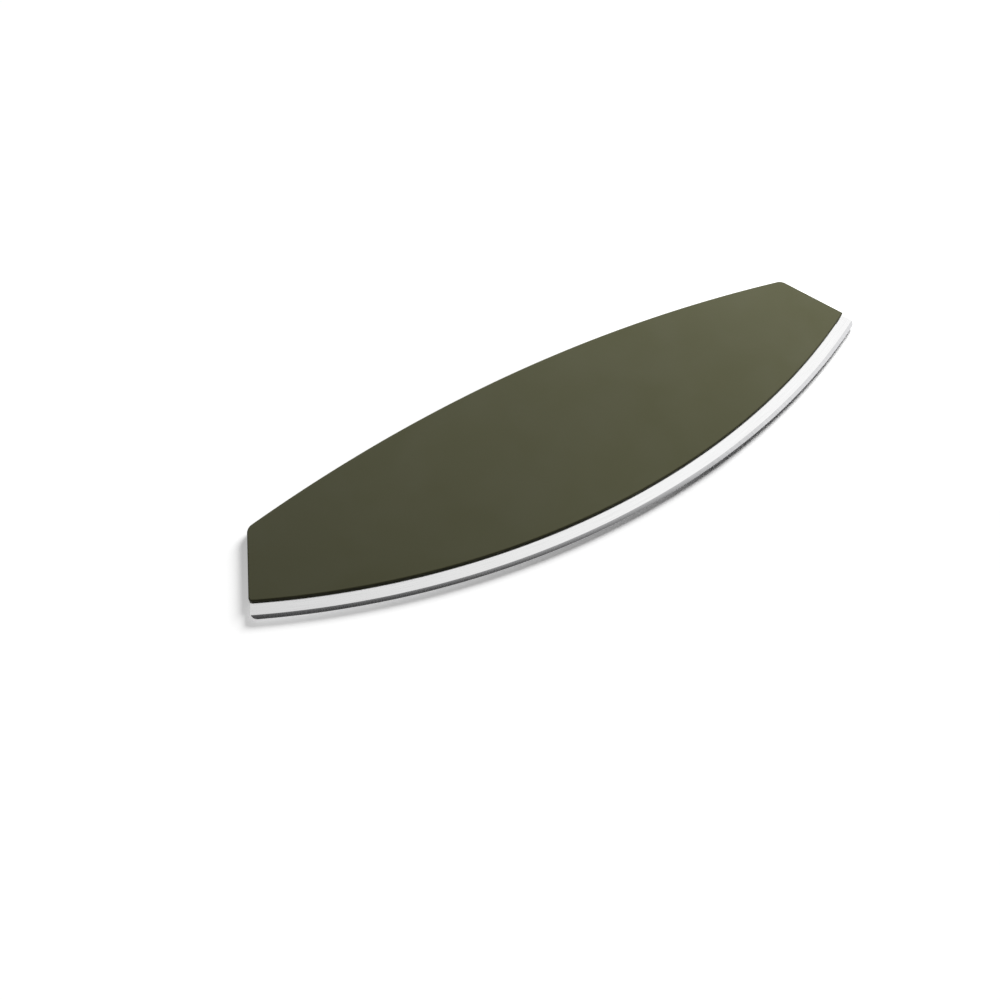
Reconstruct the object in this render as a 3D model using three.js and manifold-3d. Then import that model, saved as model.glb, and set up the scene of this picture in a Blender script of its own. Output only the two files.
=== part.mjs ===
// A rocking mezzaluna: one long steel blade held between two moulded handle scales by hidden dowels.
// Millimetres. X runs along the blade, Y from the cutting edge to the spine, Z through the thickness.
// It lies on its rear face, and the origin is under the middle of its box.

import * as THREE from 'three';
import { mergeVertices } from 'three/addons/utils/BufferGeometryUtils.js';
import Module from 'manifold-3d';

const wasm = await Module();
wasm.setup();

// Driving dimensions: the handle
const LENGTH = 369;               // over the two blade tips
const HANDLE_DEPTH = 96.5;        // belly to spine, at mid length
const HANDLE_THICKNESS = 5;       // over both scales
const BELLY_RADIUS = 425;         // handle's lower edge, seen from the front
const SPINE_RADIUS = 775;         // handle's upper edge, seen from the front
const END_SLANT = 22.5;           // degrees between the end cuts and the upright
const SPINE_CORNER_RADIUS = 5;    // where an end cut meets the spine
const BELLY_CORNER_RADIUS = 2;    // where an end cut meets the belly
const RIM_RADIUS = 0.8;           // rounding all round each scale's outer face

// Driving dimensions: the blade
const BLADE_THICKNESS = 1.5;
const BLADE_SHOW = 6.4;           // flat steel between the belly and the bevel
const BEVEL_WIDTH = 2;            // ground on both sides
const EDGE_LAND = 0.2;            // thickness left at the cutting edge
const TIP_RADIUS = 3.5;           // lower corners of the blade
const BLADE_END_SETBACK = 0.5;    // blade's end cuts behind the handle's

// Driving dimensions: the tang inside the handle
const TANG_DEPTH = 46;            // crescent's height above the belly
const TANG_COVER = 9;             // least plastic between the tang and the spine or the end cuts
const TANG_CORNER_RADIUS = 8;

// Driving dimensions: the dowels, in two rows that follow the belly
const PIN_DIAMETER = 5;
const PIN_BITE = 0.8;             // how far a dowel enters each scale
const LOWER_PIN_COUNT = 5;
const LOWER_PIN_HEIGHT = 13;      // lower row's centres above the belly
const LOWER_PIN_MARGIN = 14;      // lower row's outer centres in from the tang's ends
const UPPER_PIN_COUNT = 4;
const UPPER_PIN_DROP = 12;        // upper row's centres below the crescent's inner edge
const UPPER_PIN_MARGIN = 50;      // upper row's outer centres in from the tang's ends

// Clearances
const TANG_CLEARANCE = 0.3;       // round the tang, in its pocket
const SHOULDER_CLEARANCE = 0.3;   // between the belly and the blade's shoulders
const PIN_CLEARANCE = 0.3;        // round a dowel and at its ends

// How finely curves are divided
const LONG_ARC_STEPS = 48;
const CORNER_STEPS = 6;
const RIM_STEPS = 6;
const PIN_SIDES = 24;
const WHEEL_STEPS = 360;          // a whole turn about the belly's centre
const CUT_MARGIN = 1;             // how far a cutter reaches past what it cuts

// Places that follow from the sizes, in the handle's own plane: belly's lowest point at 0, 0
const MID_PLANE = HANDLE_THICKNESS / 2;
const BELLY_CENTRE = BELLY_RADIUS;
const SPINE_CENTRE = HANDLE_DEPTH - SPINE_RADIUS;
const CUTTING_RADIUS = BELLY_RADIUS + BLADE_SHOW + BEVEL_WIDTH;
const CUTTING_DEPTH = BLADE_SHOW + BEVEL_WIDTH;
const SLANT = THREE.MathUtils.degToRad(END_SLANT);

// The rounded tip touches the blade's full length, the cutting edge and the blade's end cut
const tipX = LENGTH / 2 - TIP_RADIUS;
const tipY = BELLY_CENTRE - Math.sqrt((CUTTING_RADIUS - TIP_RADIUS) ** 2 - tipX ** 2);
const BLADE_END = tipX * Math.cos(SLANT) + tipY * Math.sin(SLANT) + TIP_RADIUS;
const HANDLE_END = BLADE_END + BLADE_END_SETBACK;
const TANG_END = HANDLE_END - TANG_COVER;
const TANG_ROOT_RADIUS = BELLY_RADIUS + BLADE_SHOW / 2;
const CRESCENT_RADIUS = BELLY_RADIUS - TANG_DEPTH;

// Solids for joining and cutting
function solid(geometry) {
  const bare = geometry.index ? geometry.toNonIndexed() : geometry.clone();
  bare.deleteAttribute('normal');
  bare.deleteAttribute('uv');
  const merged = mergeVertices(bare, 1e-5);
  return new wasm.Manifold(new wasm.Mesh({
    numProp: 3,
    vertProperties: new Float32Array(merged.attributes.position.array),
    triVerts: new Uint32Array(merged.index.array),
  }));
}

function geometryOf(body) {
  const mesh = body.getMesh();
  const geometry = new THREE.BufferGeometry();
  geometry.setAttribute('position', new THREE.BufferAttribute(mesh.vertProperties, 3));
  geometry.setIndex(new THREE.BufferAttribute(mesh.triVerts, 1));
  geometry.computeVertexNormals();
  return geometry;
}

function cutAll(body, cutters) {
  return cutters.reduce((left, cutter) => left.subtract(cutter), body);
}

// Outlines
function arcPoints(x, y, radius, from, to, steps) {
  return Array.from({ length: steps + 1 }, (_, i) => {
    const angle = from + (to - from) * i / steps;
    return new THREE.Vector2(x + radius * Math.cos(angle), y + radius * Math.sin(angle));
  });
}

// Right half of an arc about the belly's centre, with its facets at whole steps of the wheel's turn
function wheelArc(radius, to) {
  const step = 2 * Math.PI / WHEEL_STEPS;
  const from = -Math.PI / 2;
  const whole = Math.floor((to - from) / step);
  return [
    ...arcPoints(0, BELLY_CENTRE, radius, from, from + whole * step, whole),
    ...arcPoints(0, BELLY_CENTRE, radius, from + whole * step, to, 1).slice(1),
  ];
}

// Where the right end cut, at a distance from the middle, meets a circle centred on the Y axis
function endCutMeets(distance, centreY, radius, upper) {
  const along = centreY * Math.cos(SLANT);
  const across = distance - centreY * Math.sin(SLANT);
  const reach = Math.sqrt(radius ** 2 - across ** 2);
  const t = along + (upper ? reach : -reach);
  return new THREE.Vector2(
    distance * Math.cos(SLANT) - t * Math.sin(SLANT),
    distance * Math.sin(SLANT) + t * Math.cos(SLANT),
  );
}

function angleFrom(centreY, point) {
  return Math.atan2(point.y - centreY, point.x);
}

// A sharp corner is one point
function cornerPoints(centre, radius, from, to) {
  return radius > 0 ? arcPoints(centre.x, centre.y, radius, from, to, CORNER_STEPS) : [centre];
}

// Right half of a lens: from the lowest point, round the belly corner, up the end cut, along the spine
function rightHalfLens({ end, bellyRadius, bellyCorner, spineRadius, spineCorner }) {
  const low = endCutMeets(end - bellyCorner, BELLY_CENTRE, bellyRadius - bellyCorner, false);
  const high = endCutMeets(end - spineCorner, SPINE_CENTRE, spineRadius - spineCorner, true);
  const lowAngle = angleFrom(BELLY_CENTRE, low);
  const highAngle = angleFrom(SPINE_CENTRE, high);
  const half = LONG_ARC_STEPS / 2;
  return [
    ...arcPoints(0, BELLY_CENTRE, bellyRadius, -Math.PI / 2, lowAngle, half).slice(0, -1),
    ...cornerPoints(low, bellyCorner, lowAngle, SLANT),
    ...cornerPoints(high, spineCorner, SLANT, highAngle),
    ...arcPoints(0, SPINE_CENTRE, spineRadius, highAngle, Math.PI / 2, half).slice(1),
  ];
}

// The other half mirrors it, without repeating the points on the middle line
function mirrored(rightHalf) {
  const inner = rightHalf.slice(1, -1).reverse();
  return new THREE.Shape([...rightHalf, ...inner.map((p) => new THREE.Vector2(-p.x, p.y))]);
}

function plate(shape, thickness) {
  const geometry = new THREE.ExtrudeGeometry(shape, { depth: thickness, bevelEnabled: false });
  geometry.translate(0, 0, MID_PLANE - thickness / 2);
  return solid(geometry);
}

// Dowel places: evenly along an arc about the belly's centre, between the tang's ends
function rowPlaces(count, margin, radius) {
  const last = angleFrom(BELLY_CENTRE, endCutMeets(TANG_END - margin, BELLY_CENTRE, radius, false));
  return arcPoints(0, BELLY_CENTRE, radius, -Math.PI - last, last, count - 1);
}

const lowerPins = rowPlaces(LOWER_PIN_COUNT, LOWER_PIN_MARGIN, BELLY_RADIUS - LOWER_PIN_HEIGHT);
const upperPins = rowPlaces(UPPER_PIN_COUNT, UPPER_PIN_MARGIN, CRESCENT_RADIUS + UPPER_PIN_DROP);

function dowel(place, diameter, length) {
  const geometry = new THREE.CylinderGeometry(diameter / 2, diameter / 2, length, PIN_SIDES);
  geometry.rotateX(Math.PI / 2);
  geometry.translate(place.x, place.y, MID_PLANE);
  return geometry;
}

const PIN_LENGTH = BLADE_THICKNESS + 2 * PIN_BITE;
const pinBores = [...lowerPins, ...upperPins].map((place) => solid(
  dowel(place, PIN_DIAMETER + 2 * PIN_CLEARANCE, PIN_LENGTH + 2 * PIN_CLEARANCE)));

// The tang is a crescent of even depth that runs out below the belly. Its pocket is larger by the clearance
function tangPlate(growth) {
  const lens = mirrored(rightHalfLens({
    end: TANG_END + growth,
    bellyRadius: TANG_ROOT_RADIUS,
    bellyCorner: 0,
    spineRadius: SPINE_RADIUS - TANG_COVER + growth,
    spineCorner: TANG_CORNER_RADIUS + growth,
  }));
  const innerRadius = CRESCENT_RADIUS - growth;
  const core = new THREE.CylinderGeometry(
    innerRadius, innerRadius, BLADE_THICKNESS + 2 * CUT_MARGIN, WHEEL_STEPS);
  core.rotateX(Math.PI / 2);
  core.translate(0, BELLY_CENTRE, MID_PLANE);
  return plate(lens, BLADE_THICKNESS).subtract(solid(core));
}

// The strip of steel below the belly, with shoulders under the handle's corners and rounded tips
function stripShape() {
  const shoulderRadius = BELLY_RADIUS + SHOULDER_CLEARANCE;
  const shoulder = endCutMeets(BLADE_END, BELLY_CENTRE, shoulderRadius, false);
  const tipAngle = angleFrom(BELLY_CENTRE, { x: tipX, y: tipY });
  return mirrored([
    ...wheelArc(CUTTING_RADIUS, tipAngle),
    ...arcPoints(tipX, tipY, TIP_RADIUS, tipAngle, SLANT, CORNER_STEPS).slice(1),
    ...wheelArc(shoulderRadius, angleFrom(BELLY_CENTRE, shoulder)).reverse(),
  ]);
}

// What the wheel takes off one face: a ring whose inner side is the bevel's cone
function bevelRing(side) {
  const drop = (BLADE_THICKNESS - EDGE_LAND) / 2;
  const past = CUT_MARGIN / BEVEL_WIDTH;
  const inner = CUTTING_RADIUS - BEVEL_WIDTH - CUT_MARGIN;
  const outer = CUTTING_RADIUS + CUT_MARGIN;
  const top = BLADE_THICKNESS / 2 + drop * past;
  const bottom = EDGE_LAND / 2 - drop * past;
  const profile = [[inner, top], [outer, bottom], [outer, top], [inner, top]];
  const geometry = new THREE.LatheGeometry(
    profile.map(([r, z]) => new THREE.Vector2(r, z)), WHEEL_STEPS);
  geometry.rotateX(side * Math.PI / 2);
  geometry.translate(0, BELLY_CENTRE, MID_PLANE);
  return solid(geometry);
}

function bladeBody() {
  const blank = tangPlate(0).add(plate(stripShape(), BLADE_THICKNESS));
  return cutAll(blank, [bevelRing(1), bevelRing(-1), ...pinBores]);
}

// The handle is one rounded plate, parted at mid thickness into two scales
function handleBody() {
  const shape = mirrored(rightHalfLens({
    end: HANDLE_END,
    bellyRadius: BELLY_RADIUS,
    bellyCorner: BELLY_CORNER_RADIUS,
    spineRadius: SPINE_RADIUS,
    spineCorner: SPINE_CORNER_RADIUS,
  }));
  const geometry = new THREE.ExtrudeGeometry(shape, {
    depth: HANDLE_THICKNESS - 2 * RIM_RADIUS,
    bevelThickness: RIM_RADIUS,
    bevelSize: RIM_RADIUS,
    bevelOffset: -RIM_RADIUS,
    bevelSegments: RIM_STEPS,
  });
  geometry.translate(0, 0, RIM_RADIUS);
  return solid(geometry);
}

function halfOff(side) {
  const height = MID_PLANE + CUT_MARGIN;
  const geometry = new THREE.BoxGeometry(LENGTH + 2 * CUT_MARGIN, HANDLE_DEPTH + 2 * CUT_MARGIN, height);
  geometry.translate(0, HANDLE_DEPTH / 2, MID_PLANE + side * height / 2);
  return solid(geometry);
}

function scaleBody(side) {
  return cutAll(handleBody(), [halfOff(-side), tangPlate(TANG_CLEARANCE), ...pinBores]);
}

// Finishes
const olivePlastic = { color: 0x565842, roughness: 0.5, metalness: 0 };
const polishedSteel = { color: 0xd8dadb, roughness: 0.25, metalness: 1 };
const drawnSteel = { color: 0xa9acae, roughness: 0.45, metalness: 1 };

function named(name, geometry, finish) {
  const mesh = new THREE.Mesh(geometry, new THREE.MeshStandardMaterial(finish));
  mesh.name = name;
  return mesh;
}

// The assembly, moved so that its box is centred on the origin
const mezzaluna = new THREE.Group();
mezzaluna.position.y = (CUTTING_DEPTH - HANDLE_DEPTH) / 2;
mezzaluna.add(
  named('blade', geometryOf(bladeBody()), polishedSteel),
  named('front_scale', geometryOf(scaleBody(1)), olivePlastic),
  named('rear_scale', geometryOf(scaleBody(-1)), olivePlastic),
);
lowerPins.forEach((place, i) => {
  mezzaluna.add(named(`lower_pin_${i + 1}`, dowel(place, PIN_DIAMETER, PIN_LENGTH), drawnSteel));
});
upperPins.forEach((place, i) => {
  mezzaluna.add(named(`upper_pin_${i + 1}`, dowel(place, PIN_DIAMETER, PIN_LENGTH), drawnSteel));
});

export default mezzaluna;
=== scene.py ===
# %% [markdown]
# # Dressing a rocking mezzaluna
# The real knife is a strip of stainless steel that runs the whole length of a flat, lens-shaped handle.
# The handle is two thin plates of satin plastic, called scales, that meet at mid thickness over the tang.
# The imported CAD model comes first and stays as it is: every size below is read from it where it can be,
# and the new pieces are made in its place and in its metres.

# %% Load the frame and measure it
import math

import bmesh
import bpy
from mathutils import Matrix, Vector


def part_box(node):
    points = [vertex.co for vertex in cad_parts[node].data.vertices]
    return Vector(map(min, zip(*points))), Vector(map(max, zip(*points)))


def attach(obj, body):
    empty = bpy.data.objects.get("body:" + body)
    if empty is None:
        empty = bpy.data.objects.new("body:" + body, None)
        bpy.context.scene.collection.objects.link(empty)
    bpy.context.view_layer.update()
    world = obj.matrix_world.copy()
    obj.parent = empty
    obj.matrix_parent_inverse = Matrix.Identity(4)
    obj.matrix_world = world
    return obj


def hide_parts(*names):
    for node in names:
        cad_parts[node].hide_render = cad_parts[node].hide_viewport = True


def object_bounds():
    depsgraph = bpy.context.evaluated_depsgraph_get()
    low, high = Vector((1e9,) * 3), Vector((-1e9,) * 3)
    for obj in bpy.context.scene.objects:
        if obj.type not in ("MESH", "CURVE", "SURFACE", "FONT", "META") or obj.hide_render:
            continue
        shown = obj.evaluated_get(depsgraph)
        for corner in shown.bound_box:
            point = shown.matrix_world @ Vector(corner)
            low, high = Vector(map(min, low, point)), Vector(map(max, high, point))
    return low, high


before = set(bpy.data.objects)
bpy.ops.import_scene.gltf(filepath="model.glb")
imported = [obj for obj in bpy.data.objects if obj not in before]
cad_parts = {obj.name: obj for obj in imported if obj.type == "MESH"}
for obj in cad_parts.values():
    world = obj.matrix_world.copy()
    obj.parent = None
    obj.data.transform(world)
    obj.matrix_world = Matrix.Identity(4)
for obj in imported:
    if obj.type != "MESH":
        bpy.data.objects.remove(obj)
cad_low, cad_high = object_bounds()
blade_low, blade_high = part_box("blade")
front_low, front_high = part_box("front_scale")
rear_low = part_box("rear_scale")[0]
SEAM_Z = front_low.z
BELLY_Y = front_low.y
SPINE_Y = front_high.y
print("box in mm:", [round(1000 * side, 2) for side in cad_high - cad_low])
print("handle depth in mm:", round(1000 * (SPINE_Y - BELLY_Y), 2))

# %% [markdown]
# ## The camera
# A camera can be pulled about by hand until the picture fits, or worked out from known edges.
# Here the two arcs and the four corners of the handle gave its place: a 36 mm lens at about 0.5 m,
# looking down at 58 degrees. It is kept as a bearing, a dip and a small tilt, which are easy to read.

# %% Set the camera
LENS_MM = 36.0
SENSOR_MM = 36.0
AIM = Vector((-0.05116, -0.01090, 0.0))
REACH = 0.50308
BEARING = math.radians(34.32)
DIP = math.radians(58.125)
TILT = math.radians(3.86)

sight = Vector((
    math.cos(DIP) * math.sin(BEARING),
    math.cos(DIP) * math.cos(BEARING),
    -math.sin(DIP),
))
flat_right = sight.cross(Vector((0, 0, 1))).normalized()
upright = flat_right.cross(sight)
right = flat_right * math.cos(TILT) + upright * math.sin(TILT)
up = upright * math.cos(TILT) - flat_right * math.sin(TILT)

camera_data = bpy.data.cameras.new("camera")
camera_data.lens = LENS_MM
camera_data.sensor_width = SENSOR_MM
camera = bpy.data.objects.new("camera", camera_data)
bpy.context.scene.collection.objects.link(camera)
camera.matrix_world = Matrix((right, up, -sight)).transposed().to_4x4()
camera.location = AIM - sight * REACH
bpy.context.scene.camera = camera
bpy.context.scene.view_settings.view_transform = "Standard"
print("camera at, in mm:", [round(1000 * c, 1) for c in camera.location])

# %% [markdown]
# ## The lamp
# One broad, round lamp behind the knife and to its right gives a soft shadow towards the camera. Its
# falloff makes the left end of the handle darker than the right one. It is hidden from mirrors, so it
# leaves no round spot on the steel.

# %% Hang the lamp
LAMP_BEARING = math.radians(60.3)
LAMP_HEIGHT = math.radians(34)
LAMP_DISTANCE = 0.677
LAMP_SIZE = 0.40
LAMP_POWER = 8.0

lamp_data = bpy.data.lights.new("broad_lamp", "AREA")
lamp_data.shape = "DISK"
lamp_data.size = LAMP_SIZE
lamp_data.energy = LAMP_POWER
lamp = bpy.data.objects.new("broad_lamp", lamp_data)
bpy.context.scene.collection.objects.link(lamp)
lamp.visible_glossy = False
outward = Vector((
    math.cos(LAMP_HEIGHT) * math.sin(LAMP_BEARING),
    math.cos(LAMP_HEIGHT) * math.cos(LAMP_BEARING),
    math.sin(LAMP_HEIGHT),
))
lamp.location = outward * LAMP_DISTANCE
lamp.rotation_euler = outward.to_track_quat("Z", "Y").to_euler()
print("lamp at, in mm:", [round(1000 * c) for c in lamp.location])

# %% [markdown]
# ## The floor
# A pale, matt floor shows the shadow and nothing else. A near lamp lights it unevenly, so it also glows,
# more and more with the distance from its brightest place and behind the lamp's back, until it looks
# white all over. Only rays from the camera or a mirror see that glow: it adds no light to the knife. A
# white floor would also throw much light back up under the rims, so light that bounces meets a mid grey.

# %% Write the helpers for materials
def add_node(tree, kind, settings=None, inputs=None):
    made = tree.nodes.new(kind)
    for name, value in (settings or {}).items():
        setattr(made, name, value)
    for name, value in (inputs or {}).items():
        made.inputs[name].default_value = value
    return made


def new_material(name):
    material = bpy.data.materials.new(name)
    material.use_nodes = True
    material.node_tree.nodes.clear()
    return material, material.node_tree


def seen_directly(tree):
    """1 for rays from the camera, a mirror or glass, and 0 for rays that carry light."""
    path = add_node(tree, "ShaderNodeLightPath")
    either = add_node(tree, "ShaderNodeMath", {"operation": "MAXIMUM"})
    any_of = add_node(tree, "ShaderNodeMath", {"operation": "MAXIMUM"})
    tree.links.new(path.outputs["Is Camera Ray"], either.inputs[0])
    tree.links.new(path.outputs["Is Glossy Ray"], either.inputs[1])
    tree.links.new(either.outputs[0], any_of.inputs[0])
    tree.links.new(path.outputs["Is Transmission Ray"], any_of.inputs[1])
    return any_of.outputs[0]


# %% Mix the floor's finish
FLOOR_TONE = (0.98, 0.98, 0.98, 1.0)
BOUNCE_TONE = (0.30, 0.30, 0.30, 1.0)
BRIGHTEST_PLACE = 0.74
GLOW_STARTS = 0.40
GLOW_FAR = 1.42
BACK_STARTS = 0.20
BACK_RISE = 5.0

floor_material, tree = new_material("pale_floor")
seen = seen_directly(tree)
pale = add_node(tree, "ShaderNodeBsdfDiffuse", inputs={"Color": FLOOR_TONE})
dark = add_node(tree, "ShaderNodeBsdfDiffuse", inputs={"Color": BOUNCE_TONE})
matt = add_node(tree, "ShaderNodeMixShader")
glow = add_node(tree, "ShaderNodeEmission")
spot = add_node(tree, "ShaderNodeTexCoord")
brightest = (BRIGHTEST_PLACE * lamp.location.x, BRIGHTEST_PLACE * lamp.location.y, 0.0)
away = add_node(tree, "ShaderNodeVectorMath", {"operation": "DISTANCE"}, {1: brightest})
nearness = add_node(tree, "ShaderNodeMath", {"operation": "DIVIDE"}, {0: GLOW_STARTS})
rise = add_node(
    tree,
    "ShaderNodeMath",
    {"operation": "MULTIPLY_ADD", "use_clamp": True},
    {1: -GLOW_FAR, 2: GLOW_FAR},
)
behind = add_node(
    tree,
    "ShaderNodeVectorMath",
    {"operation": "DOT_PRODUCT"},
    {1: (BACK_RISE * math.sin(LAMP_BEARING), BACK_RISE * math.cos(LAMP_BEARING), 0.0)},
)
back_rise = add_node(
    tree,
    "ShaderNodeMath",
    {"operation": "SUBTRACT", "use_clamp": True},
    {1: BACK_RISE * BACK_STARTS},
)
higher = add_node(tree, "ShaderNodeMath", {"operation": "MAXIMUM"})
glow_level = add_node(tree, "ShaderNodeMath", {"operation": "MULTIPLY"})
both = add_node(tree, "ShaderNodeAddShader")
output = add_node(tree, "ShaderNodeOutputMaterial")
tree.links.new(spot.outputs["Object"], away.inputs[0])
tree.links.new(away.outputs["Value"], nearness.inputs[1])
tree.links.new(nearness.outputs[0], rise.inputs[0])
tree.links.new(spot.outputs["Object"], behind.inputs[0])
tree.links.new(behind.outputs["Value"], back_rise.inputs[0])
tree.links.new(rise.outputs[0], higher.inputs[0])
tree.links.new(back_rise.outputs[0], higher.inputs[1])
tree.links.new(seen, glow_level.inputs[0])
tree.links.new(higher.outputs[0], glow_level.inputs[1])
tree.links.new(glow_level.outputs[0], glow.inputs["Strength"])
tree.links.new(seen, matt.inputs[0])
tree.links.new(dark.outputs[0], matt.inputs[1])
tree.links.new(pale.outputs[0], matt.inputs[2])
tree.links.new(matt.outputs[0], both.inputs[0])
tree.links.new(glow.outputs[0], both.inputs[1])
tree.links.new(both.outputs[0], output.inputs["Surface"])
print("floor nodes:", len(tree.nodes))

# %% Lay the floor
FLOOR_HALF = 6.0
FLOOR_DROP = 0.00005

floor_mesh = bpy.data.meshes.new("floor")
bm = bmesh.new()
bmesh.ops.create_grid(bm, x_segments=1, y_segments=1, size=FLOOR_HALF)
bmesh.ops.translate(bm, verts=bm.verts[:], vec=(0, 0, cad_low.z - FLOOR_DROP))
bm.to_mesh(floor_mesh)
bm.free()
floor_mesh.materials.append(floor_material)
floor = bpy.data.objects.new("floor", floor_mesh)
bpy.context.scene.collection.objects.link(floor)
print("floor:", len(floor_mesh.polygons), "face")

# %% [markdown]
# ## The room
# Polished steel shows the room, so the room matters as much as the lamp. This one is dark on the
# camera's side, grows white towards the far corner and has a white wall on the right. The flat of the
# blade reflects the white part. The ground bevel tips towards the camera, so it reflects the dark part
# on the left and the wall on the right. Matt surfaces only get an even, weak light from the room, and
# the camera itself sees plain white.

# %% Paint the room
WHITE = (1.0, 1.0, 1.0, 1.0)
ROOM_SLOPE = (1.1, 1.15, 0.0)
ROOM_MIDDLE = 0.22
SIDE_WALL_SLOPE = (4.8, 1.6, 0.0)
SIDE_WALL_STARTS = 1.50
ROOM_DARKEST = 0.07
ROOM_BRIGHTEST = 1.13
HORIZON_HEIGHT = 0.35
FILL = 0.07

world = bpy.data.worlds.new("studio")
bpy.context.scene.world = world
world.use_nodes = True
world.cycles.sampling_method = "NONE"
tree = world.node_tree
tree.nodes.clear()
facing = add_node(tree, "ShaderNodeTexCoord")
slope = add_node(tree, "ShaderNodeVectorMath", {"operation": "DOT_PRODUCT"}, {1: ROOM_SLOPE})
level = add_node(tree, "ShaderNodeMath", {"operation": "ADD"}, {1: ROOM_MIDDLE})
sideways = add_node(tree, "ShaderNodeVectorMath", {"operation": "DOT_PRODUCT"}, {1: SIDE_WALL_SLOPE})
side_wall = add_node(tree, "ShaderNodeMath", {"operation": "SUBTRACT"}, {1: SIDE_WALL_STARTS})
with_wall = add_node(tree, "ShaderNodeMath", {"operation": "MAXIMUM"})
limits = add_node(tree, "ShaderNodeClamp", inputs={"Min": ROOM_DARKEST, "Max": ROOM_BRIGHTEST})
parts = add_node(tree, "ShaderNodeSeparateXYZ")
horizon = add_node(tree, "ShaderNodeMapRange", inputs={
    "From Min": 0.0, "From Max": HORIZON_HEIGHT, "To Min": 1.0, "To Max": 0.0})
brighter = add_node(tree, "ShaderNodeMath", {"operation": "MAXIMUM"})
path = add_node(tree, "ShaderNodeLightPath")
backdrop = add_node(tree, "ShaderNodeMath", {"operation": "MAXIMUM"})
tree.links.new(facing.outputs["Generated"], slope.inputs[0])
tree.links.new(facing.outputs["Generated"], parts.inputs[0])
tree.links.new(slope.outputs["Value"], level.inputs[0])
tree.links.new(facing.outputs["Generated"], sideways.inputs[0])
tree.links.new(sideways.outputs["Value"], side_wall.inputs[0])
tree.links.new(level.outputs[0], with_wall.inputs[0])
tree.links.new(side_wall.outputs[0], with_wall.inputs[1])
tree.links.new(with_wall.outputs[0], limits.inputs["Value"])
tree.links.new(parts.outputs["Z"], horizon.inputs["Value"])
tree.links.new(limits.outputs[0], brighter.inputs[0])
tree.links.new(horizon.outputs["Result"], brighter.inputs[1])
room = add_node(tree, "ShaderNodeBackground", inputs={"Color": WHITE})
fill = add_node(tree, "ShaderNodeBackground", inputs={"Color": WHITE, "Strength": FILL})
either = add_node(tree, "ShaderNodeMixShader")
output = add_node(tree, "ShaderNodeOutputWorld")
tree.links.new(brighter.outputs[0], backdrop.inputs[0])
tree.links.new(path.outputs["Is Camera Ray"], backdrop.inputs[1])
tree.links.new(backdrop.outputs[0], room.inputs["Strength"])
tree.links.new(seen_directly(tree), either.inputs[0])
tree.links.new(fill.outputs[0], either.inputs[1])
tree.links.new(room.outputs[0], either.inputs[2])
tree.links.new(either.outputs[0], output.inputs["Surface"])
print("room reaches:", ROOM_BRIGHTEST, "and falls to", ROOM_DARKEST)

# %% [markdown]
# ## The outline of a plate
# Every flat piece here lies between two long arcs: the belly below and the spine above. A single vertex
# spun about an arc's centre leaves a neat chain of edges, so two spins and two straight edges make the
# lens. The slanted ends are then sawn off with bisect_plane, as they would be from a strip of stock.

# %% Spin and saw a lens
BELLY_RADIUS = 0.425
SPINE_RADIUS = 0.775
END_SLANT = math.radians(22.5)
BELLY_SWEEP = math.radians(29)
SPINE_SWEEP = math.radians(15.5)
BELLY_STEPS = 116
SPINE_STEPS = 93
TOUCH = 1e-6
SAW_TOUCH = TOUCH / 10

BELLY_CENTRE = Vector((0, BELLY_Y + BELLY_RADIUS, 0))
SPINE_CENTRE = Vector((0, SPINE_Y - SPINE_RADIUS, 0))


def spin_arc(bm, centre, spoke, sweep, steps):
    """Spins the tip of a spoke about a centre, half the sweep each side, and gives the arc's two ends."""
    first = bm.verts.new(centre + Matrix.Rotation(-sweep, 3, "Z") @ spoke)
    spun = bmesh.ops.spin(
        bm, geom=[first], cent=centre, axis=(0, 0, 1), angle=2 * sweep, steps=steps)
    last = [item for item in spun["geom_last"] if isinstance(item, bmesh.types.BMVert)][0]
    return first, last


def end_normal(side):
    return Vector((side * math.cos(END_SLANT), math.sin(END_SLANT), 0))


def saw_end(bm, side, end):
    """Cuts off what lies beyond an end line, at a distance from the belly's lowest point."""
    belly_foot = Vector((0, BELLY_Y, 0))
    return bmesh.ops.bisect_plane(
        bm,
        geom=bm.verts[:] + bm.edges[:] + bm.faces[:],
        dist=SAW_TOUCH,
        plane_co=belly_foot + end_normal(side) * end,
        plane_no=end_normal(side),
        clear_outer=True,
    )


def lens_face(bm, belly_radius, spine_radius, end):
    """A flat lens between the two arcs, with both ends sawn off at the slant."""
    belly = spin_arc(bm, BELLY_CENTRE, Vector((0, -belly_radius, 0)), BELLY_SWEEP, BELLY_STEPS)
    spine = spin_arc(bm, SPINE_CENTRE, Vector((0, spine_radius, 0)), SPINE_SWEEP, SPINE_STEPS)
    bmesh.ops.contextual_create(bm, geom=[belly[1], spine[0]])
    bmesh.ops.contextual_create(bm, geom=[spine[1], belly[0]])
    bmesh.ops.contextual_create(bm, geom=bm.edges[:])
    for side in (1, -1):
        saw_end(bm, side, end)


print("belly step in mm:", round(2000 * BELLY_RADIUS * BELLY_SWEEP / BELLY_STEPS, 2))
print("spine step in mm:", round(2000 * SPINE_RADIUS * SPINE_SWEEP / SPINE_STEPS, 2))

# %% [markdown]
# Sawn corners are sharp. Bevelling a vertex rounds a corner in plan, and the distance it slides along
# the two edges follows from the radius and from how sharply the outline turns there. Arc points that
# lie inside that distance would get in the way, so they go first.

# %% Round the corners of a lens
CORNER_TURN = math.radians(20)
CORNER_SEGMENTS = 8
CORNER_ROOM = 1.25


def corners_of(bm, upper):
    """The outline's sharp corners: the spine's two, or the belly's two."""
    sharp = [v for v in bm.verts if v.calc_edge_angle() > CORNER_TURN]
    heights = sorted(v.co.y for v in sharp)
    middle = (heights[0] + heights[-1]) / 2
    return [v for v in sharp if (v.co.y > middle) == upper]


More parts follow.
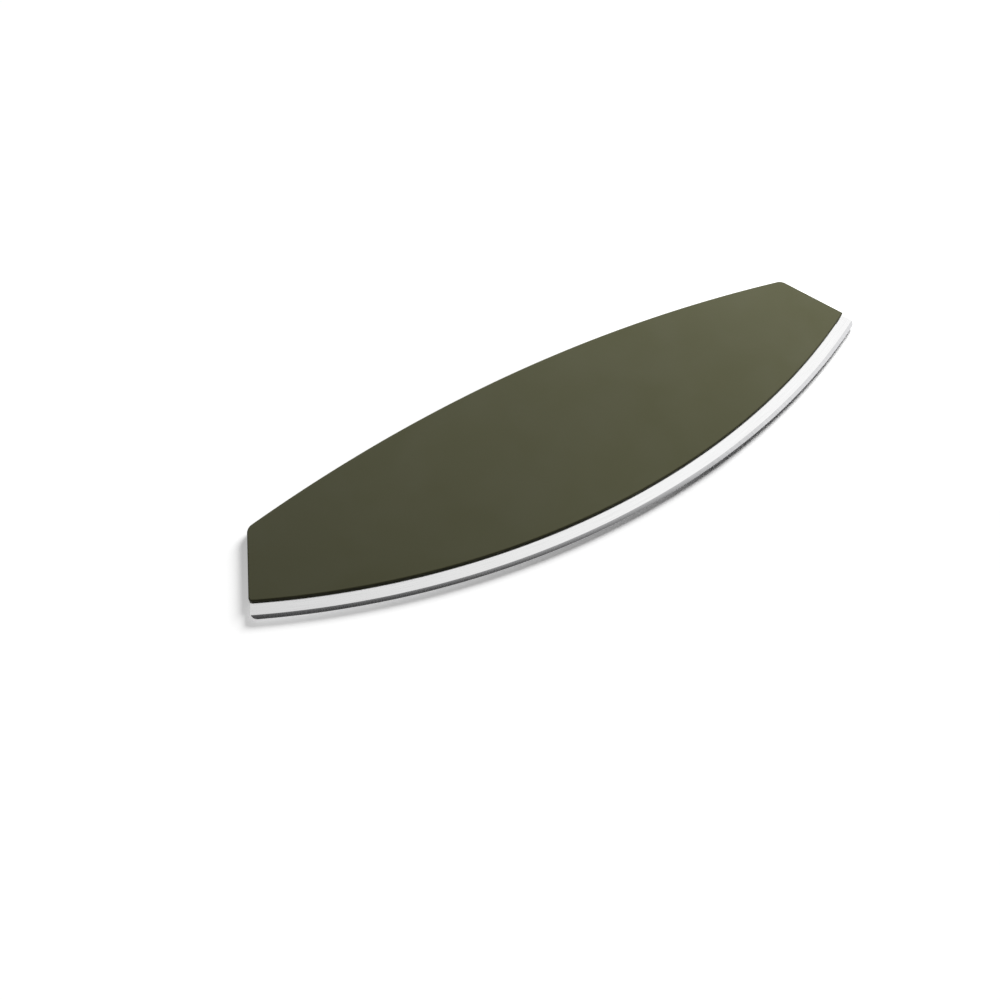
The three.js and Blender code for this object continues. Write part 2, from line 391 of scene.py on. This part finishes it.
def round_corners(bm, upper, radius):
    corners = corners_of(bm, upper)
    slide = radius * math.tan(corners[0].calc_edge_angle() / 2)
    crowding = [
        edge.other_vert(corner)
        for corner in corners
        for edge in corner.link_edges
        if edge.calc_length() < CORNER_ROOM * slide
    ]
    bmesh.ops.dissolve_verts(bm, verts=crowding)
    bmesh.ops.bevel(
        bm,
        geom=corners,
        affect="VERTICES",
        offset=slide,
        offset_type="ABSOLUTE",
        segments=CORNER_SEGMENTS,
        profile=0.5,
        material=-1,
        clamp_overlap=False,
    )


def thicken(bm, from_z, to_z):
    """Turns a flat face into a plate between two heights."""
    bmesh.ops.translate(bm, verts=bm.verts[:], vec=(0, 0, from_z))
    grown = bmesh.ops.extrude_face_region(bm, geom=bm.faces[:])["geom"]
    top = [item for item in grown if isinstance(item, bmesh.types.BMVert)]
    bmesh.ops.translate(bm, verts=top, vec=(0, 0, to_z - from_z))
    bmesh.ops.recalc_face_normals(bm, faces=bm.faces[:])


def as_piece(bm, name):
    mesh = bpy.data.meshes.new(name)
    bm.to_mesh(mesh)
    bm.free()
    piece = bpy.data.objects.new(name, mesh)
    bpy.context.scene.collection.objects.link(piece)
    return piece


# %% [markdown]
# ## The two scales
# A real scale is a shallow moulding: a flat outer face, a small round all along its rim, and a fine
# chamfer where it meets its twin, which leaves a hairline round the spine and the ends. A bevel with
# eight segments makes the rim, and a bevel with one segment makes the chamfer.

# %% Mould the scales
TIP_RADIUS = 0.0035
BLADE_SHOW = 0.0064
BEVEL_WIDTH = 0.002
CUTTING_RADIUS = BELLY_RADIUS + BLADE_SHOW + BEVEL_WIDTH
BLADE_SETBACK = 0.0005
RIM_RADIUS = 0.0008
RIM_SEGMENTS = 8
SEAM_CHAMFER = 0.00012
SPINE_CORNER = 0.005
BELLY_CORNER = 0.002

tip_x = blade_high.x - TIP_RADIUS
tip_drop = math.sqrt((CUTTING_RADIUS - TIP_RADIUS) ** 2 - tip_x ** 2)
tip_centre = Vector((tip_x, BELLY_CENTRE.y - tip_drop, 0))
BLADE_END = (tip_centre - Vector((0, BELLY_Y, 0))).dot(end_normal(1)) + TIP_RADIUS
HANDLE_END = BLADE_END + BLADE_SETBACK


def edges_at(bm, height):
    return [e for e in bm.edges if all(abs(v.co.z - height) < TOUCH for v in e.verts)]


def bevel_edges(bm, edges, offset, segments):
    bmesh.ops.bevel(
        bm,
        geom=edges,
        affect="EDGES",
        offset=offset,
        segments=segments,
        profile=0.5,
        material=-1,
        clamp_overlap=False,
    )


def mould_scale(name, outer_z):
    bm = bmesh.new()
    lens_face(bm, BELLY_RADIUS, SPINE_RADIUS, HANDLE_END)
    round_corners(bm, True, SPINE_CORNER)
    round_corners(bm, False, BELLY_CORNER)
    thicken(bm, SEAM_Z, outer_z)
    bevel_edges(bm, edges_at(bm, outer_z), RIM_RADIUS, RIM_SEGMENTS)
    bevel_edges(bm, edges_at(bm, SEAM_Z), SEAM_CHAMFER, 1)
    bmesh.ops.recalc_face_normals(bm, faces=bm.faces[:])
    return as_piece(bm, name)


front_scale = mould_scale("front_scale_moulding", front_high.z)
rear_scale = mould_scale("rear_scale_moulding", rear_low.z)
for scale in (front_scale, rear_scale):
    print(scale.name, len(scale.data.polygons), "faces, in mm:", [
        round(1000 * side, 2) for side in scale.dimensions])

# %% [markdown]
# ## The pocket for the tang
# The tang is a crescent of even depth inside the handle, so each scale has a shallow pocket for half of
# its thickness, open along the belly. A pocket with a curved wall is hard to draw but easy to mill: a
# Boolean takes the shape of a cutter away. The same helper later joins and drills the blade.

# %% Cut the pocket
TANG_COVER = 0.009
TANG_DEPTH = 0.046
TANG_CORNER = 0.008
TANG_CLEARANCE = 0.0003
CUT_MARGIN = 0.001
WHEEL_SEGMENTS = 360


def carve(piece, tool, how="DIFFERENCE"):
    """Cuts a piece with a tool, or joins the tool to it, and keeps the result as the piece's mesh."""
    step = piece.modifiers.new("carve", "BOOLEAN")
    step.operation = how
    step.solver = "MANIFOLD"
    step.object = tool
    ready = bpy.context.evaluated_depsgraph_get()
    shaped = bpy.data.meshes.new_from_object(piece.evaluated_get(ready), depsgraph=ready)
    # This solver leaves an empty material slot on its result.
    shaped.materials.clear()
    uncut = piece.data
    piece.modifiers.remove(step)
    piece.data = shaped
    bpy.data.meshes.remove(uncut)


def put_away(tool):
    mesh = tool.data
    bpy.data.objects.remove(tool)
    bpy.data.meshes.remove(mesh)


def tang_plate(name, growth):
    """The crescent, larger all round by the growth."""
    bm = bmesh.new()
    lens_face(
        bm,
        BELLY_RADIUS + BLADE_SHOW / 2,
        SPINE_RADIUS - TANG_COVER + growth,
        HANDLE_END - TANG_COVER + growth,
    )
    round_corners(bm, True, TANG_CORNER + growth)
    thicken(bm, blade_low.z, blade_high.z)
    plate = as_piece(bm, name)
    bm = bmesh.new()
    core_radius = BELLY_RADIUS - TANG_DEPTH - growth
    bmesh.ops.create_cone(
        bm,
        cap_ends=True,
        segments=WHEEL_SEGMENTS,
        radius1=core_radius,
        radius2=core_radius,
        depth=blade_high.z - blade_low.z + 2 * CUT_MARGIN,
        matrix=Matrix.Translation(BELLY_CENTRE + Vector((0, 0, SEAM_Z))),
    )
    core = as_piece(bm, "core")
    carve(plate, core)
    put_away(core)
    return plate


pocket = tang_plate("pocket", TANG_CLEARANCE)
for scale in (front_scale, rear_scale):
    carve(scale, pocket)
put_away(pocket)
print("pocket cut:", [len(scale.data.polygons) for scale in (front_scale, rear_scale)], "faces")

# %% [markdown]
# Mesh tools leave points and faces in an order that changes from run to run, and what is done next can
# depend on it, if only in where a large face is later split into triangles. So after its cuts each mesh
# is put in order of place, and every run hands over the same faces.

# %% Put the scales in order
def in_order(bm):
    """The same mesh with its points sorted by place, and its faces by their points."""
    points = sorted(bm.verts, key=lambda vert: vert.co[:])
    number = {vert: i for i, vert in enumerate(points)}
    rings = []
    for face in bm.faces:
        ring = [number[vert] for vert in face.verts]
        start = ring.index(min(ring))
        rings.append(ring[start:] + ring[:start])
    ordered = bmesh.new()
    copies = [ordered.verts.new(vert.co) for vert in points]
    for ring in sorted(rings):
        ordered.faces.new([copies[i] for i in ring])
    ordered.normal_update()
    bm.free()
    return ordered


def put_in_order(piece):
    """Puts a piece's mesh in order and measures it."""
    bm = bmesh.new()
    bm.from_mesh(piece.data)
    bm = in_order(bm)
    open_edges = sum(not edge.is_manifold for edge in bm.edges)
    volume = round(1e6 * bm.calc_volume(), 3)
    bm.to_mesh(piece.data)
    bm.free()
    print(piece.name, "open edges:", open_edges, "volume in ml:", volume)


for scale in (front_scale, rear_scale):
    put_in_order(scale)

# %% [markdown]
# A moulding has no razor edges. Along the belly, where the pocket opens, each scale is rounded on the
# inside too, and the narrow slit that this leaves over the steel draws the dark line along the handle.
# A bevel also shifts the seams that run into its edge, so it comes before the bores are drilled.

# %% Round the mouth of the pocket
MOUTH_RADIUS = 0.0009
MOUTH_SEGMENTS = 8
ON_BELLY = 5 * TOUCH


def ease_mouth(scale, steel_z):
    bm = bmesh.new()
    bm.from_mesh(scale.data)
    mouth = [
        edge for edge in edges_at(bm, steel_z)
        if all(abs((v.co - BELLY_CENTRE).xy.length - BELLY_RADIUS) < ON_BELLY for v in edge.verts)
    ]
    print(scale.name, "mouth edges:", len(mouth))
    bevel_edges(bm, mouth, MOUTH_RADIUS, MOUTH_SEGMENTS)
    bmesh.ops.recalc_face_normals(bm, faces=bm.faces[:])
    bm = in_order(bm)
    bm.to_mesh(scale.data)
    bm.free()


ease_mouth(front_scale, blade_high.z)
ease_mouth(rear_scale, blade_low.z)

# %% [markdown]
# ## The bores for the dowels
# Nine short dowels cross the tang and end blind in both scales. Their places are read from the CAD
# nodes, so the bores can't drift away from them. All nine cutters share one mesh, so each piece is
# drilled once.

# %% Drill the scales
PIN_CLEARANCE = 0.0003
PIN_SEGMENTS = 32

dowels = [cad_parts[name] for name in sorted(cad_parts) if "_pin_" in name]
bm = bmesh.new()
for dowel in dowels:
    low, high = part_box(dowel.name)
    bore_radius = (high.x - low.x) / 2 + PIN_CLEARANCE
    bmesh.ops.create_cone(
        bm,
        cap_ends=True,
        segments=PIN_SEGMENTS,
        radius1=bore_radius,
        radius2=bore_radius,
        depth=high.z - low.z + 2 * PIN_CLEARANCE,
        matrix=Matrix.Translation((low + high) / 2),
    )
bores = as_piece(bm, "bores")
for scale in (front_scale, rear_scale):
    carve(scale, bores)
    put_in_order(scale)
print("dowels:", len(dowels), "scale faces:", [len(s.data.polygons) for s in (front_scale, rear_scale)])

# %% [markdown]
# ## The blade
# The visible strip is the same section all along its arc: two flats, two ground bevels and a thin land
# at the edge. So the section is drawn once, as six points, and spun about the belly's centre. The ends
# are sawn at the handle's slant, and each tip is filed round with ten flat cuts, as on a bench.

# %% Spin the strip
EDGE_LAND = 0.0002
SHOULDER_GAP = 0.0003
STRIP_SWEEP = math.radians(28)
STRIP_STEPS = 140

bm = bmesh.new()
section = [
    (BELLY_RADIUS + SHOULDER_GAP, blade_low.z),
    (CUTTING_RADIUS - BEVEL_WIDTH, blade_low.z),
    (CUTTING_RADIUS, SEAM_Z - EDGE_LAND / 2),
    (CUTTING_RADIUS, SEAM_Z + EDGE_LAND / 2),
    (CUTTING_RADIUS - BEVEL_WIDTH, blade_high.z),
    (BELLY_RADIUS + SHOULDER_GAP, blade_high.z),
]
ring = [bm.verts.new(BELLY_CENTRE + Vector((0, -radius, z))) for radius, z in section]
for i, vert in enumerate(ring):
    bm.edges.new((ring[i - 1], vert))
bmesh.ops.rotate(
    bm, verts=ring, cent=BELLY_CENTRE, matrix=Matrix.Rotation(-STRIP_SWEEP, 3, "Z"))
bmesh.ops.spin(
    bm,
    geom=bm.verts[:] + bm.edges[:],
    cent=BELLY_CENTRE,
    axis=(0, 0, 1),
    angle=2 * STRIP_SWEEP,
    steps=STRIP_STEPS,
)
print("strip before the saw:", len(bm.faces), "faces")

# %% Saw the ends and file the tips
TIP_TURNS = 11


def close_cut(bm):
    bmesh.ops.holes_fill(bm, edges=[e for e in bm.edges if e.is_boundary])


def file_cut(bm, place, towards):
    """One flat stroke of the file: what lies beyond the plane goes, and the cut is closed."""
    bmesh.ops.bisect_plane(
        bm,
        geom=bm.verts[:] + bm.edges[:] + bm.faces[:],
        dist=SAW_TOUCH,
        plane_co=place,
        plane_no=towards,
        clear_outer=True,
    )
    close_cut(bm)


for side in (1, -1):
    saw_end(bm, side, BLADE_END)
close_cut(bm)
edge_angle = math.atan2(tip_centre.y - BELLY_CENTRE.y, tip_centre.x)
stroke_turn = (END_SLANT - edge_angle) / TIP_TURNS
stroke_depth = TIP_RADIUS * math.cos(stroke_turn / 2)
for stroke in range(1, TIP_TURNS):
    angle = END_SLANT - stroke_turn * stroke
    for side in (1, -1):
        towards = Vector((side * math.cos(angle), math.sin(angle), 0))
        file_cut(bm, Vector((side * tip_x, tip_centre.y, 0)) + towards * stroke_depth, towards)
bmesh.ops.recalc_face_normals(bm, faces=bm.faces[:])
blade = as_piece(bm, "blade_ground")
print("strip:", len(blade.data.polygons), "faces, in mm:", [
    round(1000 * side, 2) for side in blade.dimensions])

# %% [markdown]
# On the real knife one blank holds the strip and the tang. Here the curved section and the flat crescent
# are easier to make apart, so a Boolean union joins them into one piece of steel, and the bores go
# through it afterwards.

# %% Join the tang and drill it
tang = tang_plate("tang", 0.0)
carve(blade, tang, "UNION")
put_away(tang)
carve(blade, bores)
put_away(bores)
put_in_order(blade)

# %% [markdown]
# ## Shading
# Curved rims should shade smoothly and flat faces should stay flat. The rims turn by 11 degrees from
# face to face and the ground bevel by 18, so edges over 14 degrees are marked sharp. A Weighted Normal
# modifier lets the large flat faces decide at the rim's borders.

# %% Shade the pieces
SHARP = math.radians(14)
FLAT_WEIGHT = 100


def shade(piece):
    piece.data.shade_smooth()
    piece.data.set_sharp_from_angle(angle=SHARP)
    weighting = piece.modifiers.new("flat_faces_first", "WEIGHTED_NORMAL")
    weighting.mode = "FACE_AREA"
    weighting.weight = FLAT_WEIGHT
    weighting.keep_sharp = True


for piece in (blade, front_scale, rear_scale):
    shade(piece)
    print(piece.name, sum(e.use_edge_sharp for e in piece.data.edges), "sharp edges")

# %% [markdown]
# ## Where wear, a painted highlight and brushing run
# Satin plastic wears first along its rim. Each scale carries two numbers that are 1 along the middle of
# the
# round and 0 on the flat and on the wall: one for where the rim is dulled, which is all round, and one
# for where the rim is made paler, which is partly scuff and partly a painted highlight where the rim
# catches the light. The pale one is left off along the belly, where the rim lies in shade over the blade.
# Brushing follows the arc, so the blade carries a UV map: one axis is the length along the edge, the
# other is the distance from the belly's centre.

# %% Mark the rims
DULL_MARK = "rim_dulled"
# The pale rim mark is partly scuff and partly a painted highlight. It is kept off the belly, whose rim
# lies in shade.
SCUFF_AND_HIGHLIGHT_MARK = "rim_scuff_and_highlight"
SHADED_BELLY_REACH = 2 * RIM_RADIUS


def mark_rim(scale, outer_z):
    scale.data.attributes.new(DULL_MARK, "FLOAT", "POINT")
    scale.data.attributes.new(SCUFF_AND_HIGHLIGHT_MARK, "FLOAT", "POINT")
    dulled = scale.data.attributes[DULL_MARK].data
    scuffed_and_lit = scale.data.attributes[SCUFF_AND_HIGHLIGHT_MARK].data
    for i, vert in enumerate(scale.data.vertices):
        share = 1 - abs(vert.co.z - outer_z) / RIM_RADIUS
        round_middle = math.sin(math.pi * share) if 0 < share < 1 else 0.0
        # Along the belly the rim lies in shade over the blade, so it gets no painted highlight.
        on_shaded_belly = (vert.co - BELLY_CENTRE).xy.length > BELLY_RADIUS - SHADED_BELLY_REACH
        dulled[i].value = round_middle
        scuffed_and_lit[i].value = 0.0 if on_shaded_belly else round_middle
    print(scale.name, "scuffed points:", sum(mark.value > 0 for mark in scuffed_and_lit))


mark_rim(front_scale, front_high.z)
mark_rim(rear_scale, rear_low.z)

# %% Map the blade and find its ground faces
EDGE_MAP = "along_edge"
# A face is ground if its middle lies on this share of the bevel's width and it tips off the flat.
GROUND_SHARE = 0.98
GROUND_TILT = 0.97

bm = bmesh.new()
bm.from_mesh(blade.data)
layer = bm.loops.layers.uv.new(EDGE_MAP)
for face in bm.faces:
    for loop in face.loops:
        spoke = loop.vert.co - BELLY_CENTRE
        loop[layer].uv = (CUTTING_RADIUS * math.atan2(spoke.x, -spoke.y), spoke.xy.length)
    reach = (face.calc_center_median() - BELLY_CENTRE).xy.length
    on_bevel = reach > CUTTING_RADIUS - BEVEL_WIDTH * GROUND_SHARE
    face.material_index = int(on_bevel and abs(face.normal.z) < GROUND_TILT)
ground = sum(face.material_index for face in bm.faces)
bm.to_mesh(blade.data)
bm.free()
print("ground faces:", ground, "of", len(blade.data.polygons))

# %% [markdown]
# ## Satin olive plastic
# The mould for such a handle is spark eroded, which leaves a fine, even grain that breaks up the gloss.
# Three noises do it: one for slow drifts of tone, one for the grain, and one for faint marks of handling
# that change the roughness. Use leaves the rim a little duller, and its paler tone is partly scuff and
# partly a painted highlight where the rim catches the light.

# %% Write the helpers for finishes
NOISE_LOW = 0.3
NOISE_HIGH = 0.7


def spread(tree, source, low, high, from_low=NOISE_LOW, from_high=NOISE_HIGH):
    """Stretches a noise between two values."""
    made = add_node(tree, "ShaderNodeMapRange", inputs={
        "From Min": from_low, "From Max": from_high, "To Min": low, "To Max": high})
    tree.links.new(source, made.inputs["Value"])
    return made.outputs["Result"]


def noise(tree, vector, scale, detail, distortion=0.0):
    made = add_node(tree, "ShaderNodeTexNoise", inputs={
        "Scale": scale, "Detail": detail, "Distortion": distortion})
    tree.links.new(vector, made.inputs["Vector"])
    return made.outputs["Fac"]


def blend_tones(tree, factor, first, second):
    made = add_node(tree, "ShaderNodeMix", {"data_type": "RGBA"})
    tree.links.new(factor, made.inputs["Factor"])
    for socket, tone in (("A", first), ("B", second)):
        place = [s for s in made.inputs if s.name == socket and s.type == "RGBA"][0]
        if isinstance(tone, tuple):
            place.default_value = tone
        else:
            tree.links.new(tone, place)
    return [s for s in made.outputs if s.type == "RGBA"][0]


def relief(tree, height, strength, distance, under=None):
    made = add_node(tree, "ShaderNodeBump", inputs={"Strength": strength, "Distance": distance})
    tree.links.new(height, made.inputs["Height"])
    if under is not None:
        tree.links.new(under, made.inputs["Normal"])
    return made.outputs["Normal"]


def surface(tree, settings, tone, roughness, normal):
    shader = add_node(tree, "ShaderNodeBsdfPrincipled", inputs=settings)
    output = add_node(tree, "ShaderNodeOutputMaterial")
    tree.links.new(tone, shader.inputs["Base Color"])
    tree.links.new(roughness, shader.inputs["Roughness"])
    tree.links.new(normal, shader.inputs["Normal"])
    tree.links.new(shader.outputs[0], output.inputs["Surface"])


# %% Mix the plastic
OLIVE_DEEP = (0.0514, 0.0518, 0.0214, 1.0)
OLIVE_PALE = (0.0541, 0.0545, 0.0227, 1.0)
# A paler, browner rim tone: partly scuff, partly a painted highlight where the rim catches the light.
OLIVE_SCUFFED_AND_LIT = (0.130, 0.120, 0.060, 1.0)
SCUFF_AND_HIGHLIGHT_TONE = 0.5
SATIN_ROUGHNESS = (0.43, 0.53)
DULL_ROUGHNESS = 0.3
PLASTIC_IOR = 1.5
# A noise is a scale, a detail and, where it is stirred, a distortion.
DRIFT = (11.0, 2.0)
GRAIN = (1900.0, 3.0)
HANDLING = (34.0, 5.0, 0.5)
# A relief is a strength and a depth.
WAVE_RELIEF = (0.15, 0.0002)
GRAIN_RELIEF = (0.12, 0.00002)

olive, tree = new_material("satin_olive_plastic")
place = add_node(tree, "ShaderNodeTexCoord").outputs["Object"]
dulled = add_node(tree, "ShaderNodeAttribute", {"attribute_name": DULL_MARK}).outputs["Fac"]
scuffed_and_lit = add_node(tree, "ShaderNodeAttribute", {"attribute_name": SCUFF_AND_HIGHLIGHT_MARK}).outputs["Fac"]
drift = noise(tree, place, *DRIFT)
grain = noise(tree, place, *GRAIN)
handling = noise(tree, place, *HANDLING)
tone = blend_tones(tree, spread(tree, drift, 0.0, 1.0), OLIVE_DEEP, OLIVE_PALE)
# The rim is made paler here: partly scuff, partly a painted highlight.
tone = blend_tones(tree, spread(tree, scuffed_and_lit, 0.0, SCUFF_AND_HIGHLIGHT_TONE, 0.0, 1.0), tone, OLIVE_SCUFFED_AND_LIT)
satin = add_node(tree, "ShaderNodeMath", {"operation": "MULTIPLY_ADD"}, {1: DULL_ROUGHNESS})
tree.links.new(dulled, satin.inputs[0])
tree.links.new(spread(tree, handling, *SATIN_ROUGHNESS), satin.inputs[2])
waves = relief(tree, drift, *WAVE_RELIEF)
grained = relief(tree, grain, *GRAIN_RELIEF, under=waves)
surface(tree, {"Metallic": 0.0, "IOR": PLASTIC_IOR}, tone, satin.outputs[0], grained)
print("plastic nodes:", len(tree.nodes))

# %% [markdown]
# ## Polished and ground steel
# The flat of the blade is polished along its length, which leaves hairlines that follow the arc. The
# bevel is ground across the edge and comes out duller, with short marks at right angles to it. Both read
# the blade's own UV map, stretched one way or the other. A grinding belt gives a little, so it leaves the
# bevel slightly round across its width: a bump that falls off from its middle line turns the light there.

# %% Write the helpers for steel
HAIRLINE_DETAIL = 4.0
HAIRLINE_STRENGTH = 0.15
SMEARS = (26.0, 4.0, 0.8)
SMEAR_ROUGHNESS = 0.012


def stretched(tree, along, across):
    spot = add_node(tree, "ShaderNodeUVMap", {"uv_map": EDGE_MAP})
    pulled = add_node(tree, "ShaderNodeMapping", inputs={"Scale": (along, across, 1.0)})
    tree.links.new(spot.outputs[0], pulled.inputs["Vector"])
    return pulled.outputs[0]


def rounded(tree, middle, bulge):
    """A height that falls away from a middle line, by the bulge times the distance squared."""
    spot = add_node(tree, "ShaderNodeUVMap", {"uv_map": EDGE_MAP})
    parts = add_node(tree, "ShaderNodeSeparateXYZ")
    off = add_node(tree, "ShaderNodeMath", {"operation": "SUBTRACT"}, {1: middle})
    square = add_node(tree, "ShaderNodeMath", {"operation": "MULTIPLY"})
    drop = add_node(tree, "ShaderNodeMath", {"operation": "MULTIPLY"}, {1: -bulge})
    tree.links.new(spot.outputs[0], parts.inputs[0])
    tree.links.new(parts.outputs["Y"], off.inputs[0])
    tree.links.new(off.outputs[0], square.inputs[0])
    tree.links.new(off.outputs[0], square.inputs[1])
    tree.links.new(square.outputs[0], drop.inputs[0])
    return relief(tree, drop.outputs[0], strength=1.0, distance=1.0)


def steel(name, pull, tones, roughness, depth, bulge=0.0):
    """Steel with hairlines pulled along or across the edge, faint smears and, if asked for, a bulge."""
    material, tree = new_material(name)
    hairlines = noise(tree, stretched(tree, *pull), scale=1.0, detail=HAIRLINE_DETAIL)
    place = add_node(tree, "ShaderNodeTexCoord").outputs["Object"]
    smears = noise(tree, place, *SMEARS)
    tone = blend_tones(tree, spread(tree, hairlines, 0.0, 1.0), *tones)
    both = add_node(tree, "ShaderNodeMath", {"operation": "ADD"})
    tree.links.new(spread(tree, hairlines, *roughness), both.inputs[0])
    tree.links.new(spread(tree, smears, -SMEAR_ROUGHNESS, SMEAR_ROUGHNESS), both.inputs[1])
    under = rounded(tree, CUTTING_RADIUS - BEVEL_WIDTH / 2, bulge) if bulge else None
    scratched = relief(tree, hairlines, HAIRLINE_STRENGTH, depth, under)
    surface(tree, {"Metallic": 1.0}, tone, both.outputs[0], scratched)
    return material


# %% Finish the steel
STEEL_BRIGHT = (0.87, 0.87, 0.87, 1.0)
STEEL_DULL = (0.80, 0.80, 0.80, 1.0)
GROUND_BRIGHT = (0.71, 0.71, 0.72, 1.0)
GROUND_DULL = (0.61, 0.61, 0.62, 1.0)

polished = steel(
    "polished_steel",
    pull=(45.0, 5200.0),
    tones=(STEEL_BRIGHT, STEEL_DULL),
    roughness=(0.16, 0.24),
    depth=0.000004,
)
ground_steel = steel(
    "ground_steel",
    pull=(4200.0, 140.0),
    tones=(GROUND_BRIGHT, GROUND_DULL),
    roughness=(0.20, 0.30),
    depth=0.000001,
    bulge=48.0,
)
print("steel nodes:", [len(finish.node_tree.nodes) for finish in (polished, ground_steel)])

# %% [markdown]
# ## Drawn wire for the dowels
# The dowels are cut from drawn wire, whose marks run along its length. They stay the CAD's own nodes,
# which have no UV map, so the noise is stretched along the height of the Object coordinates.

# %% Finish the dowels
WIRE_PULL = (3200.0, 3200.0, 60.0)
WIRE_DETAIL = 3.0
WIRE_BRIGHT = (0.62, 0.63, 0.64, 1.0)
WIRE_DULL = (0.50, 0.51, 0.53, 1.0)
WIRE_ROUGHNESS = (0.34, 0.5)
WIRE_RELIEF = (0.2, 0.00001)

drawn, tree = new_material("drawn_wire")
place = add_node(tree, "ShaderNodeTexCoord").outputs["Object"]
pulled = add_node(tree, "ShaderNodeMapping", inputs={"Scale": WIRE_PULL})
tree.links.new(place, pulled.inputs["Vector"])
lines = noise(tree, pulled.outputs[0], scale=1.0, detail=WIRE_DETAIL)
tone = blend_tones(tree, spread(tree, lines, 0.0, 1.0), WIRE_BRIGHT, WIRE_DULL)
roughness = spread(tree, lines, *WIRE_ROUGHNESS)
drawn_lines = relief(tree, lines, *WIRE_RELIEF)
surface(tree, {"Metallic": 1.0}, tone, roughness, drawn_lines)
for dowel in dowels:
    for slot in dowel.material_slots:
        slot.material = drawn
print("dowels finished:", len(dowels))

# %% [markdown]
# ## Handing over
# Each new piece rides on the CAD's one body, takes its finishes and stands in for its CAD node, which is
# hidden. The box of the solids is written down when the frame is loaded. The dressed knife may not be
# larger than the solids.

# %% Put the pieces on the frame
for piece, node, slot, finishes in (
    (blade, "blade", "blade_steel", (polished, ground_steel)),
    (front_scale, "front_scale", "handle_plastic", (olive,)),
    (rear_scale, "rear_scale", "handle_plastic", (olive,)),
):
    for finish in finishes:
        piece.data.materials.append(finish)
    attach(piece, "root")
    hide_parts(node)
